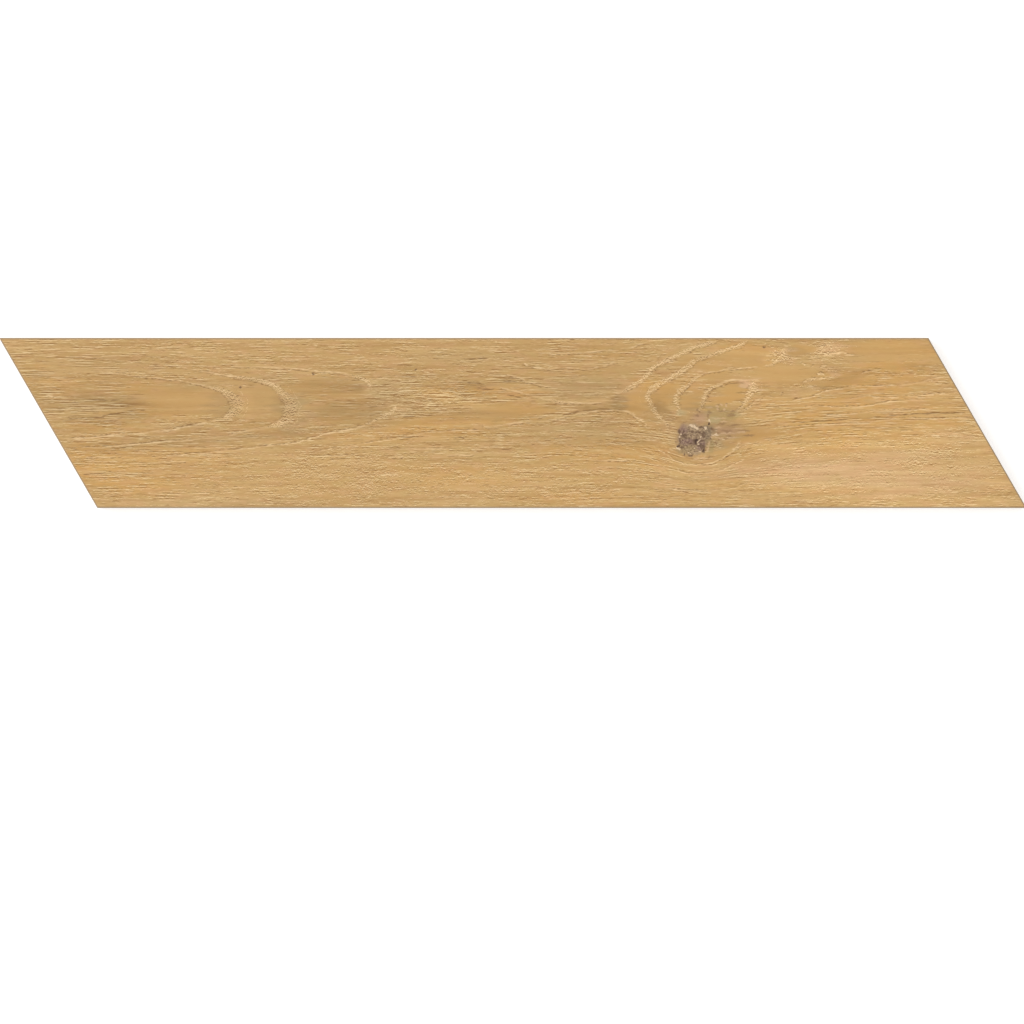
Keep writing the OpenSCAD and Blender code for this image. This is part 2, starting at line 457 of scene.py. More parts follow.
def beside_runs(runs, x, y):
    """How far each point lies to the right of its nearest run, the run's breadth there, and its slope."""
    away, breadth, steep = np.full_like(x, line_reach), np.zeros_like(x), np.zeros_like(x)
    for run in runs:
        ahead = np.gradient(run[:, :2], axis=0)
        ahead /= np.hypot(ahead[:, 0], ahead[:, 1])[:, None]
        margin = line_reach + run[:, 2].max()
        near = np.flatnonzero((x > run[:, 0].min() - margin) & (x < run[:, 0].max() + margin)
                              & (y > run[:, 1].min() - margin) & (y < run[:, 1].max() + margin))
        closest = np.hypot(x[near, None] - run[:, 0], y[near, None] - run[:, 1]).argmin(axis=1)
        gap_x, gap_y = x[near] - run[closest, 0], y[near] - run[closest, 1]
        gap = np.hypot(gap_x, gap_y)
        right = np.sign(ahead[closest, 0] * gap_y - ahead[closest, 1] * gap_x)
        to_end = np.minimum(closest, len(run) - 1 - closest)
        shown = (1 + line_shown + run[closest, 2] - gap).clip(0, 1) * (to_end / line_taper).clip(0, 1)
        nearer = gap < np.abs(away[near])
        chosen, closest = near[nearer], closest[nearer]
        away[chosen] = (gap * right)[nearer]
        breadth[chosen] = run[closest, 2] * shown[nearer]
        steep[chosen] = -ahead[closest, 1]
    return away, breadth, steep


def rough(x, y, length, height, seed):
    """Even, seeded noise from -1 to 1, in bumps about this long and high in picture pixels."""
    across, down = x / length, y / height
    column, row = np.floor(across).astype(int), np.floor(down).astype(int)
    first_column, first_row = column.min(), row.min()
    heights = np.random.default_rng(seed).uniform(
        -1, 1, (row.max() - first_row + 2, column.max() - first_column + 2))
    column_share, row_share = across - column, down - row
    column_share = column_share ** 2 * (3 - 2 * column_share)
    row_share = row_share ** 2 * (3 - 2 * row_share)
    column, row = column - first_column, row - first_row
    upper = heights[row, column] * (1 - column_share) + heights[row, column + 1] * column_share
    lower = heights[row + 1, column] * (1 - column_share) + heights[row + 1, column + 1] * column_share
    return upper * (1 - row_share) + lower * row_share


# Fibres run along the tile, and are pushed aside by the knot and the loops.
# Each push is a picture place, its reach along and across, and how far down it moves the fibres.
FIBRE_PUSHES = (
    (698, 463, 36, 20, 9),
    (722, 444, 72, 42, 8),
    (775, 388, 62, 30, 2),
    (715, 352, 60, 26, -5),
)
# Patches of the print: picture place, reach along and across, turn in degrees,
# then how much lighter, how much warmer, how calm and how curly the wood is there.
PATCHES = (
    # broad drifts of tone over the whole length
    (230, 400, 330, 50, 0, -0.018, 0.1, 0, 0),
    (560, 405, 150, 50, 0, -0.014, 0, 0, 0),
    (850, 412, 110, 26, -3, 0.008, 0.7, 0, 0),
    (620, 468, 130, 22, 0, 0.008, 0.1, 0, 0),
    (640, 498, 120, 8, 0, 0.016, 0.4, 0, 0),
    (95, 458, 34, 22, 0, 0.004, 0.8, 0, 0),
    # the heart on the left and the arches round it
    (100, 410, 120, 80, 0, -0.011, 0, 0, 0),
    (140, 416, 60, 6, -2, 0, 0.4, 0, 0),
    (32, 373, 20, 10, 0, 0, 0.5, 0, 0),
    (100, 470, 22, 16, 0, 0, 0.4, 0, 0),
    (106, 411, 18, 4, 0, 0.035, 0, 0, 0),
    (255, 437, 40, 3, 0, -0.035, 0, 0, 0),
    (315, 428, 24, 4, 0, -0.035, 0.2, 0, 0),
    (285, 407, 9, 10, 0, -0.030, 0, 0, 0),
    (92, 404, 60, 11, -3, -0.045, 0, -0.3, 0),
    (142, 405, 24, 7, -4, -0.035, 0.5, 0.1, 0),
    (68, 393, 10, 3, 0, 0.040, 0, 0, 0),
    (135, 475, 52, 20, 0, 0.004, 0.8, 0, 0),
    (60, 378, 34, 10, 0, 0, 0.5, 0, 0),
    (135, 388, 30, 6, 0, 0, 0.4, 0, 0),
    (110, 428, 50, 8, -3, 0, 0.4, 0, 0),
    (55, 397, 18, 3, 2, 0.045, 0, 0, 0),
    (50, 374, 36, 5, 0, -0.040, 0, 0, 0),
    (100, 402, 80, 18, -2, 0, 0, 0, -0.9),
    (60, 360, 70, 22, 0, 0, 0, 0, -0.5),
    (180, 440, 110, 12, -2, 0, 0, 0, -0.5),
    (340, 400, 40, 22, 0, 0, 0, 0, -0.6),
    (105, 365, 62, 7, 0, -0.022, 0, 0, 0),
    (145, 391, 76, 8, 1, -0.026, 0.2, 0.3, 0),
    (95, 421, 34, 4.5, -4, -0.055, 0.2, 0, 0),
    (182, 402, 38, 13, 0, 0.010, 0.2, 0.9, 0),
    (192, 427, 22, 3.5, -4, -0.050, 0.3, 0, 0),
    (130, 415, 34, 3.5, -4, -0.045, 0.2, 0, 0),
    (196, 386, 20, 5, 8, -0.030, 0, 0.2, 0),
    (30, 382, 14, 12, 0, -0.045, 0.5, 0, 0),
    (105, 448, 46, 6, -2, -0.050, 0.2, 0, 0),
    (190, 442, 50, 4, 0, -0.030, 0, 0, 0),
    (135, 418, 34, 3.5, 0, -0.030, 0, 0, 0),
    (120, 473, 30, 3.5, 0, -0.035, 0, 0, 0),
    (265, 428, 40, 4, -4, -0.030, 0.2, 0, 0),
    (360, 426, 44, 6, 0, -0.022, 0, 0, 0),
    (220, 405, 12, 14, 0, -0.030, -0.2, 0.4, 0),
    (258, 400, 20, 20, 0, -0.004, 0, 0.8, 0),
    (280, 380, 24, 8, 0, 0, -0.3, 0, 0),
    (265, 379, 28, 4, 5, -0.040, 0.2, 0.3, 0),
    (281, 404, 10, 12, 0, -0.045, 0, 0.3, 0),
    (303, 408, 10, 18, 0, -0.010, -0.7, 0.3, 0),
    (290, 429, 14, 7, 0, 0, -0.6, 0, 0),
    (325, 388, 42, 12, 3, -0.055, 0.5, 0.4, 0),
    (348, 410, 38, 12, 4, -0.068, 0.5, 0.4, 0),
    (376, 388, 22, 12, 0, 0, -0.5, 0, 0),
    (372, 438, 44, 7, 0, -0.012, 0.6, 0, 0),
    (240, 503, 90, 6, 0, 0.025, -0.4, 0, 0),
    (210, 465, 30, 20, 0, 0, 0.3, 0, 0),
    (175, 454, 60, 8, 0, 0, 0.4, 0, 0),
    (190, 494, 80, 14, 0, 0.022, -0.1, 0, 0),
    (340, 478, 110, 26, 0, 0.012, 0.1, 0, 0.9),
    # the middle: dense dashes at the third arch's tip, then the lens
    (395, 408, 24, 16, 0, 0, -0.35, 0, 0),
    (490, 416, 30, 5, 0, -0.020, -0.2, 0, 0),
    (500, 390, 36, 8, 0, 0, 0.3, 0, 0),
    (462, 404, 30, 4, 0, 0.035, 0, 0, 0),
    (465, 482, 50, 7, 0, -0.015, 0.2, 0, 0),
    (612, 495, 40, 8, 0, -0.014, 0, 0, 0),
    (622, 400, 12, 4, 0, -0.050, 0, 0, 0),
    (420, 399, 54, 18, 0, 0.010, -0.10, -1.1, 0),
    (437, 396, 14, 5, 0, 0.045, 0, -0.2, 0),
    (460, 357, 64, 7, 0, -0.035, 0, 0, 0),
    (380, 353, 24, 4, 0, 0.015, 0, 0, 0),
    (450, 421, 60, 7, 2, 0, 0.55, 0.5, 0),
    (462, 390, 30, 6, 0, -0.025, 0.9, 0, 0),
    (420, 415, 70, 5, 2, -0.035, 0.1, 0, 0),
    (452, 387, 16, 5, 0, -0.025, 0, 0, 0),
    (515, 422, 40, 5, 0, 0, 0.7, 0, 0),
    (395, 390, 20, 4, 0, -0.030, 0.2, 0, 0),
    (440, 432, 50, 7, -2, 0, 0.8, 0, 0),
    (470, 442, 56, 7, 0, -0.015, 0.2, 0, 0),
    (468, 478, 50, 12, 0, 0.004, 0.4, 0, 0),
    (520, 384, 18, 6, 4, -0.035, 0, 0, 0),
    (405, 469, 40, 5, 0, 0.022, 0.1, 0, 0.2),
    (478, 385, 18, 4, 0, -0.070, 0, 0.3, 0),
    (510, 380, 14, 3, 8, -0.035, 0.2, 0, 0),
    (515, 409, 42, 7, 2, -0.010, 0.55, 0.8, 0),
    (520, 418, 24, 4, 0, -0.035, 0.3, 0, 0),
    (580, 388, 44, 12, 0, -0.010, -0.4, 0.2, 0),
    (520, 390, 26, 10, 0, 0, 0.4, 0, 0),
    (570, 371, 44, 5, 0, -0.040, 0.5, 0, 0),
    (570, 378, 90, 34, 0, 0, 0, 0, -0.5),
    (600, 353, 60, 10, -4, -0.030, 0.3, 0, 0),
    (612, 372, 26, 8, 0, -0.015, 0, 0.5, 0),
    (560, 426, 60, 8, -4, -0.015, -0.2, 0, 0),
    (588, 442, 70, 6, 0, -0.060, 0.5, 0, 0),
    (618, 434, 44, 4, 0, -0.030, 0, 0, 0),
    (600, 450, 60, 12, 0, -0.010, 0.5, 0, 0),
    (605, 420, 22, 3.5, 0, -0.045, 0, 0, 0),
    (616, 408, 34, 4, 0, -0.085, 0.4, 0.3, 0),
    (600, 401, 16, 3, 0, 0.020, 0, 0, 0),
    (540, 482, 120, 22, 0, 0.020, 0, 0, 0.4),
    # round the knot: calm honey between the loops, and the eye
    (641, 402, 12, 13, 0, -0.005, 0.5, 1.0, 0),
    (664, 398, 11, 15, 0, -0.035, 0.6, 1.1, 0),
    (662, 408, 9, 5, 0, -0.060, 0, 0.4, 0),
    (645, 426, 16, 8, 0, 0, 0.3, 0, 0),
    (648, 384, 18, 7, 0, 0.010, 0.9, 0, 0),
    (664, 424, 8, 5, 0, -0.040, 0, 0.2, 0),
    (690, 399, 9, 14, 0, -0.022, 0.4, 1.1, 0),
    (698, 410, 11, 7, 0, -0.075, -0.1, 0.5, 0),
    (700, 366, 34, 7, -20, -0.020, 0.3, 1.0, 0),
    (684, 382, 40, 9, 0, 0, 0.5, 0.2, 0),
    (745, 349, 30, 7, 0, 0.010, 0.6, 0.6, 0),
    (740, 360, 40, 6, -6, -0.025, 0.3, 0.9, 0),
    (728, 396, 20, 10, 35, 0, 0.5, 1.2, 0),
    (738, 409, 12, 5, 0, -0.030, -0.2, 0.4, 0),
    (753, 385, 8, 7, 0, 0.045, -0.4, 0.3, 0),
    (742, 431, 36, 9, 0, -0.045, 0.1, 0.4, 0),
    (750, 436, 16, 7, 0, -0.020, 0.3, 0.7, 0),
    (722, 440, 24, 7, 0, -0.035, -0.4, 0.4, 0),
    (724, 449, 13, 7, 25, -0.010, 0.3, 0.8, 0),
    (690, 469, 40, 9, 0, 0.035, 0, 0, 0),
    (772, 476, 30, 9, 0, 0.050, -0.2, 0, 0.1),
    (724, 447, 24, 5, 0, -0.035, 0, 0, 0),
    (692, 455, 12, 4, 0, 0.050, 0.5, 0, 0),
    (666, 446, 16, 9, 0, 0.015, 0.3, 0, 0),
    (650, 458, 30, 10, 0, 0, 0.5, 0, 0),
    (765, 383, 13, 4, 0, 0.030, 0, 0, 0),
    (755, 437, 40, 14, 0, 0, 0.4, 0, 0),
    (718, 444, 8, 7, 0, -0.005, -0.6, -0.7, 0.8),
    (785, 451, 40, 8, -4, 0.065, 0, 0, 0.1),
    (690, 486, 60, 4, 0, 0.030, 0, 0, 0),
    (680, 495, 90, 6, 0, -0.012, 0, 0, 0),
    # the upper right: honey round the small eye, with pale flames
    (745, 364, 44, 12, 0, 0.022, 0, 0, 0),
    (690, 340, 60, 3, 0, 0.030, 0, 0, 0),
    (838, 420, 30, 44, 0, 0, 0.4, 0, 0),
    (832, 396, 24, 3, 0, -0.040, 0, 0, 0),
    (885, 358, 40, 10, 0, 0, -0.3, 0, 0),
    (930, 402, 60, 9, 0, 0.014, 0, 0, 0),
    (800, 350, 13, 6, 0, -0.005, 0.4, 1.2, 0),
    (776, 356, 14, 9, -55, 0.030, -0.2, -0.3, 1.5),
    (783, 374, 40, 10, 0, 0.010, 0.3, 1.0, 0),
    (790, 393, 20, 6, 0, 0.020, -0.6, 0.2, 0),
    (832, 350, 26, 8, 4, 0.035, -0.1, -0.2, 1.3),
    (822, 373, 15, 7, -15, 0.020, 0, -0.2, 1.3),
    (803, 387, 12, 5, 0, 0, 0, -0.2, 1.0),
    (842, 382, 26, 6, 8, -0.060, 0, 0.5, 0),
    (832, 392, 30, 5, 4, -0.025, 0.8, 0, 0),
    (812, 387, 10, 3, 0, -0.045, 0, 0, 0),
    (832, 369, 22, 4, 0, -0.035, 0, 0, 0),
    (895, 366, 40, 6, 0, 0, 0.5, 0, 0),
    (895, 352, 50, 14, 0, 0.012, 0.6, 0.8, 0),
    (890, 380, 60, 14, 0, 0, 0.7, 0.2, 0),
    (942, 380, 24, 8, -10, 0.020, -0.2, 0, 0),
    (940, 389, 22, 4, 0, -0.030, 0.2, 0, 0),
    (845, 402, 36, 8, 0, -0.006, 0.9, 0.4, 0),
    (860, 412, 110, 26, 0, 0, 0, 0, -0.6),
    (895, 404, 34, 4, 0, 0.020, -0.4, 0.2, 0),
    (945, 395, 26, 4, 0, 0.045, 0, 0, 0),
    (842, 422, 40, 8, 0, 0, 0.6, 0, 0),
    (880, 418, 100, 5, -3, -0.020, 0.5, 0.2, 0),
    # the lower right: paler, with short curly marks
    (850, 448, 60, 4, 0, 0.020, 0.2, 0, 0),
    (880, 444, 90, 7, 4, 0.020, 0, 0, 0),
    (982, 432, 12, 4, 0, 0.050, 0, 0, 0),
    (992, 450, 14, 8, 0, 0.030, 0, 0, 0),
    (880, 497, 140, 10, 0, 0.018, 0, 0, 0),
    (820, 484, 60, 6, 0, 0, -0.4, 0, 0),
    (1010, 488, 20, 14, 0, 0, -0.6, 0, 0),
    (745, 460, 24, 10, 0, 0.010, 0.3, 0, 0),
    (850, 438, 60, 8, 0, 0.035, 0.2, 0, 0.3),
    (950, 432, 54, 12, 0, 0.060, -0.1, 0, 0.2),
    (956, 438, 20, 3, 0, -0.030, 0, 0, 0),
    (980, 452, 26, 5, 0, 0.035, 0, 0, 0),
    (1005, 486, 18, 12, 0, 0.035, 0.6, 0, 0),
    (905, 465, 26, 4, 0, 0.030, 0, 0, 0),
    (985, 466, 16, 3.5, 0, -0.025, 0, 0, 0),
    (915, 402, 34, 6, 0, 0.020, 0, 0, 0),
    (890, 474, 130, 28, 0, 0.058, 0, 0.2, 0.55),
    (900, 503, 140, 7, 0, 0.075, -0.2, 0, 0),
    (812, 489, 60, 6, 0, 0.035, 0.3, 0, 0),
    (740, 484, 40, 6, 0, 0.020, 0.3, 0, 0),
    (860, 490, 110, 9, 0, 0.010, -0.2, 0, 0),
    (930, 446, 40, 5, 0, 0.030, 0.3, 0, 0),
    (890, 449, 110, 6, 0, 0.035, -0.3, 0, 0.2),
    (830, 489, 70, 4, 0, 0.030, 0, 0, 0),
    (930, 462, 44, 20, 0, 0, -0.1, 0, 0.6),
)

# Parts of the figure with a crisp edge: picture place, reach along and across, turn, and how much
# lighter. The third arch ends in two dark lobes. Dark wood lies inside the loops and past the lens.
CRISP_PATCHES = (
    (334, 386, 32, 8, 0, -0.017), (347, 387.5, 18, 6.5, 0, -0.017), (357, 388.5, 8, 5.5, 0, -0.022),
    (345, 411, 44, 10, 4, -0.017), (360, 411.5, 27, 8, 2, -0.010), (373, 412, 14.5, 5.5, 0, -0.014),
    (332, 410, 16, 7, 0, -0.018), (430, 378, 45, 5, -5, -0.014), (358, 388, 4.5, 4.5, 0, -0.020),
    (798, 352, 12, 5, -5, -0.040), (229, 409, 4, 10, 0, -0.020), (283, 409, 4, 10, 0, -0.020),
    (655, 400, 5, 16, 8, -0.012), (716, 368, 24, 6, 12, 0.012), (180, 434, 100, 8, 0, -0.010),
    (112, 401, 34, 8, -2, -0.022), (246, 405, 8, 15, 0, 0.020), (250, 438, 85, 4.5, 6, -0.014),
    (620, 403, 9, 8, 20, -0.050), (664, 410, 15, 5.5, -50, -0.050), (450, 397, 42, 5, -13, 0.025),
    (775, 356, 13, 6.5, 25, 0.050), (829, 350, 14, 5.5, 0, 0.035), (862, 373, 22, 4.5, 12, -0.030),
    (922, 368, 22, 3.5, -4, -0.030), (371, 379, 6, 6, -40, 0.025), (398, 409, 12, 6, 0, 0.025),
)

# Places where the oak turns paler and pinker: picture place, reach along and across, turn and amount.
PEACH_PATCHES = (
    (885, 476, 130, 26, 0, 0.35), (780, 466, 60, 16, 0, 0.25), (960, 436, 40, 12, 0, 0.25),
    (783, 355, 10, 10, 0, 0.5), (832, 350, 16, 7, 0, 0.5), (753, 385, 7, 7, 0, 0.9),
    (832, 374, 8, 5, 0, 0.5), (806, 389, 8, 5, 0, 0.4), (702, 417, 7, 7, 0, 0.7),
    (722, 430, 13, 4, 0, 0.4), (878, 401, 18, 3, 0, 0.4), (697, 344, 14, 3, -10, 0.3),
    (800, 405, 30, 3, 0, 0.2), (905, 455, 50, 8, 0, 0.2), (840, 470, 60, 10, 0, 0.2),
    (930, 484, 70, 12, 0, 0.2), (560, 440, 40, 4, 0, 0.2), (720, 472, 50, 8, 0, 0.25),
)
# Sizes in picture pixels: how far the patches fray along the fibres and the lines waver,
# how long and high a pore is, how soft its edge is, and how far below it its painted highlight lies.
fray_reach = 12
waver_reach = (1.2, 0.6)
pore_length = 12
pore_height = 1.6
pore_edge = 0.2
highlight_drop = 1.2
frayed_steepness = 2
crisp_steepness = 4


def mesh_values(items, name, width=1, kind=float):
    """One property of all the points, sides or corners of the mesh, in rows of that width."""
    values = np.empty(len(items) * width, kind)
    items.foreach_get(name, values)
    return values.reshape(-1, width) if width > 1 else values


co = mesh_values(tile_data.vertices, "co", 3)
picture_x = co[:, 0] / pixel + tile_middle_in_picture[0]
picture_y = tile_middle_in_picture[1] - co[:, 1] / pixel


def hill(seen_x, seen_y, x, y, along, across, turn=0.0, steepness=1):
    """A hill of 1 at a picture place. The steeper it is, the flatter its top and the crisper its edge."""
    turn = math.radians(turn)
    gone_x, gone_y = seen_x - x, y - seen_y
    ahead = (gone_x * math.cos(turn) + gone_y * math.sin(turn)) / along
    aside = (gone_y * math.cos(turn) - gone_x * math.sin(turn)) / across
    return np.exp(-(ahead ** 2 + aside ** 2) ** steepness)


across_fibres = picture_y.copy()
for *place, push in FIBRE_PUSHES:
    across_fibres -= push * hill(picture_x, picture_y, *place)
frayed_x = picture_x + fray_reach * rough(picture_x, across_fibres, length=50, height=2.6, seed=41)
lighter, warmer, calmer, curlier, peach = (np.zeros(len(co)) for _ in range(5))
for *place, light, warm, calm, curl in PATCHES:
    here = hill(frayed_x, picture_y, *place, steepness=frayed_steepness)
    lighter += light * here
    warmer += warm * here
    calmer += calm * here
    curlier += curl * here
for *place, amount in PEACH_PATCHES:
    peach += amount * hill(frayed_x, picture_y, *place, steepness=frayed_steepness)

waver_x = picture_x + waver_reach[0] * rough(picture_x, across_fibres, length=9, height=5, seed=11)
waver_y = picture_y + waver_reach[1] * rough(picture_x, across_fibres, length=12, height=5, seed=12)
for *place, light in CRISP_PATCHES:
    lighter += light * hill(waver_x, waver_y, *place, steepness=crisp_steepness)
cream_lines = (*ARCH_LINES, *(points[::-1] for points in LOOP_LINES))
growth = [beside_runs(runs, waver_x, waver_y) for runs in share_out(cream_lines)]
drawn_dark = beside_runs([drawn_line(points) for points in DARK_LINES], waver_x, waver_y)

pore_noise = rough(picture_x, across_fibres, pore_length, pore_height, seed=21)
# The cream lip just below a pore is a painted highlight, as of a groove lit from above.
pore_below = rough(picture_x, across_fibres - highlight_drop, pore_length, pore_height, seed=21)
pore_crowd = 0.62 + 0.12 * rough(picture_x, across_fibres, length=60, height=9, seed=22)
pore_crowd += 0.25 * calmer.clip(-0.6, 1)
pore = ((pore_noise - pore_crowd) / pore_edge).clip(0, 1)
pore_painted_highlight = ((pore_below - pore_crowd) / pore_edge).clip(0, 1) * (1 - pore)


def keep_on_mesh(name, *columns):
    """Stores up to three values at each point of the mesh, for the print's material to read."""
    values = np.zeros((len(co), 3), np.float32)
    for index, column in enumerate(columns):
        values[:, index] = column
    layer = tile_data.attributes.new(name, "FLOAT_VECTOR", "POINT")
    layer.data.foreach_set("vector", values.ravel())


for number, layer in enumerate(growth):
    keep_on_mesh(f"growth_{number}", *layer)
keep_on_mesh("drawn_dark", *drawn_dark)
keep_on_mesh("fibres", co[:, 0], -across_fibres * pixel, curlier)
keep_on_mesh("patches", lighter, warmer, calmer)
keep_on_mesh("pores", pore, pore_painted_highlight, peach)

# The pressed relief: pores and the shaded side of each growth line are sunk, and the knot is hollow.
# It dies away at the rim, where the tile was ground after firing.
pore_depth = 0.10 * MM
line_depth = 0.10 * MM
sway_depth = 0.10 * MM
knot_depth = 0.30 * MM
knot_middle = (693, 440)
knot_reach = 12
line_softness = 0.6
rim_fade = 1.5 * MM

lean_x = co[:, 0] + co[:, 1] * math.tan(end_angle)
to_long_edge = half_width - bevel_width - np.abs(co[:, 1])
to_end_cut = (half_edge - bevel_along - np.abs(lean_x)) * math.cos(end_angle)
fade = (np.minimum(to_long_edge, to_end_cut) / rim_fade).clip(0, 1)
fade[co[:, 2] < face_height - merge_gap] = 0
sway = 0.5 + 0.5 * rough(picture_x, across_fibres, length=70, height=7, seed=31)
hollow = hill(picture_x, picture_y, *knot_middle, knot_reach, knot_reach)
hollow *= 0.75 + 0.25 * rough(picture_x, picture_y, length=5, height=3, seed=32)
groove = np.zeros_like(picture_x)
for away, breadth, _ in (*growth, drawn_dark):
    beyond = np.abs(away - breadth) / (line_softness + breadth)
    groove = np.maximum(groove, np.exp(-beyond ** 2) * breadth.clip(0, 1))
sunk = pore_depth * pore + line_depth * groove + sway_depth * sway + knot_depth * hollow
co[:, 2] -= sunk * fade
tile_data.vertices.foreach_set("co", co.ravel())
tile_data.update()

# The print: kiln-fired oak colours under a matt glaze.
# Dark pores and fibre streaks run with the fibres, and each has a cream painted highlight just below it,
# as of a groove lit from above. The streaks' dark is partly painted shade.
oak_honey = paint(212, 162, 90)
oak_grey = paint(186, 157, 109)
oak_pale = paint(220, 182, 122)
oak_brown = paint(174, 128, 70)
fibre_brown = paint(144, 97, 40)
fibre_cream = paint(241, 210, 156)
line_cream = paint(244, 208, 154)
line_brown = paint(130, 88, 42)
oak_blush = paint(216, 164, 118)
oak_olive = paint(196, 166, 100)
oak_peach = paint(220, 178, 134)
painted_light_step = 0.46 * MM
cut_reach = 10.0
thin_share = 0.6
band_rim = 0.9
shade_gap = 0.5
never_zero = 0.01
line_edge = (1.2, 0.5)
side_edge = (1.0, 0.3)
# Breadths over which a line comes to show, turns into a band of specks, and a band grows fainter
shown_breadth = (0.3, 0.9)
band_breadth = (1.8, 3.2)
faint_breadth = (4.0, 7.0)


def rise(tree, value, start, end, low=0.0, high=1.0):
    """Goes smoothly from low to high as the value passes from start to end."""
    node = place_node(tree, "ShaderNodeMapRange", interpolation_type="SMOOTHSTEP")
    join(tree, value, node.inputs["Value"])
    for name, limit in (("From Min", start), ("From Max", end), ("To Min", low), ("To Max", high)):
        join(tree, limit, node.inputs[name])
    return node.outputs["Result"]


def tint(tree, amount, under, over):
    """Lays one colour over another by an amount."""
    node = place_node(tree, "ShaderNodeMix", data_type="RGBA", blend_type="MIX")
    colour_sockets = [socket for socket in node.inputs if socket.type == "RGBA"]
    join(tree, amount, node.inputs["Factor"])
    join(tree, under, colour_sockets[0])
    join(tree, over, colour_sockets[1])
    return next(socket for socket in node.outputs if socket.type == "RGBA")


def split(tree, place):
    """The three parts of a place, or of three values kept together."""
    parts = place_node(tree, "ShaderNodeSeparateXYZ")
    join(tree, place, parts.inputs[0])
    return list(parts.outputs)


def stored(tree, name):
    """Reads three values that were kept on the mesh."""
    return split(tree, place_node(tree, "ShaderNodeAttribute", attribute_name=name).outputs["Vector"])


def grain_noise(tree, along, across, length, thickness, detail=1.0, seed=0.0, wander=0.0):
    """Noise drawn out along the fibres, with streaks of about this length and thickness."""
    in_lengths = sum_up(tree, "DIVIDE", along, length)
    in_thicknesses = sum_up(tree, "DIVIDE", across, thickness)
    place = place_node(tree, "ShaderNodeCombineXYZ")
    join(tree, in_lengths, place.inputs[0])
    join(tree, in_thicknesses, place.inputs[1])
    place.inputs[2].default_value = seed
    noise = place_node(tree, "ShaderNodeTexNoise")
    tree.links.new(place.outputs[0], noise.inputs["Vector"])
    noise.inputs["Scale"].default_value = 1.0
    noise.inputs["Detail"].default_value = detail
    noise.inputs["Distortion"].default_value = wander
    return noise.outputs[0]


def painted_emboss(tree, along, across, length, thickness, seed, wander=0.0):
    """Fibre streaks with a painted highlight just below them and painted shade on them, as of grooves lit
    from above, and the streaks themselves.
    """
    streaks = grain_noise(tree, along, across, length, thickness, seed=seed, wander=wander)
    higher = sum_up(tree, "ADD", across, painted_light_step)
    moved = grain_noise(tree, along, higher, length, thickness, seed=seed, wander=wander)
    return sum_up(tree, "SUBTRACT", moved, streaks), streaks


oak = bpy.data.materials.new("printed_oak_glaze")
oak.use_nodes = True
tree = oak.node_tree
glaze = tree.nodes["Principled BSDF"]

along, across, curl = stored(tree, "fibres")
patch_light, patch_warm, patch_calm = stored(tree, "patches")
pore_dark, pore_highlight, peach_amount = stored(tree, "pores")
lively = rise(tree, patch_calm, -1.0, 1.0, 1.5, 0.22)

fine, fine_streaks = painted_emboss(tree, along, across, 1.9 * MM, 0.34 * MM, seed=1.3)
long, long_streaks = painted_emboss(tree, along, across, 13 * MM, 0.35 * MM, seed=5.1)
curly, _ = painted_emboss(tree, along, across, 0.9 * MM, 0.42 * MM, seed=8.2, wander=1.2)
crowd = grain_noise(tree, along, across, 14 * MM, 3 * MM, seed=3.9)
crowd = rise(tree, crowd, 0.35, 0.65, 0.60, 1.40)
texture = sum_up(tree, "MULTIPLY", long, rise(tree, curl, -1.0, 1.5, 1.75, 0.35))
texture = sum_up(tree, "MULTIPLY_ADD", fine, rise(tree, curl, -1.0, 0.0, 0.30, 0.72), texture)
texture = sum_up(tree, "MULTIPLY_ADD", curly, rise(tree, curl, -0.6, 1.4, 0.0, 2.0), texture)
texture = sum_up(tree, "MULTIPLY", texture, crowd)
texture = sum_up(tree, "MULTIPLY", texture, lively)
# The streaks' pale side is painted highlight and their dark side is partly painted shade, partly print.
fibre_highlight = rise(tree, texture, 0.12, 0.40)
fibre_shade = rise(tree, texture, -0.12, -0.42)
ticks = grain_noise(tree, along, across, 5.0 * MM, 0.34 * MM, seed=12.6)
tick_strength = sum_up(tree, "MULTIPLY", crowd, lively)
tick_light = sum_up(tree, "MULTIPLY", rise(tree, ticks, 0.65, 0.72, 0.0, 0.70), tick_strength)
tick_shade = sum_up(tree, "MULTIPLY", rise(tree, ticks, 0.35, 0.28, 0.0, 0.70), tick_strength)

tone = grain_noise(tree, along, across, 60 * MM, 5 * MM, seed=3.1)
ribbon = grain_noise(tree, along, across, 42 * MM, 2.0 * MM, seed=6.2)
streak = grain_noise(tree, along, across, 24 * MM, 1.2 * MM, detail=2.0, seed=7.7)
blotch = grain_noise(tree, along, across, 7 * MM, 3 * MM, seed=2.7)
plain_oak = tint(tree, rise(tree, patch_warm, -1.3, 1.15), oak_grey, oak_honey)
plain_oak = tint(tree, rise(tree, peach_amount, 0.0, 1.0), plain_oak, oak_peach)
colour = tint(tree, rise(tree, blotch, 0.50, 0.70, 0.0, 0.30), plain_oak, oak_blush)
colour = tint(tree, rise(tree, blotch, 0.50, 0.30, 0.0, 0.30), colour, oak_olive)
colour = tint(tree, rise(tree, streak, 0.45, 0.75, 0.0, 0.28), colour, oak_brown)
colour = tint(tree, rise(tree, tone, 0.60, 0.25, 0.0, 0.35), colour, oak_pale)
colour = tint(tree, rise(tree, ribbon, 0.48, 0.72, 0.0, 0.30), colour, oak_brown)
colour = tint(tree, rise(tree, ribbon, 0.50, 0.28, 0.0, 0.30), colour, oak_pale)
colour = tint(tree, rise(tree, patch_calm, 0.2, 1.1, 0.0, 0.7), colour, plain_oak)
colour = tint(tree, sum_up(tree, "MULTIPLY", fibre_highlight, 0.90), colour, fibre_cream)
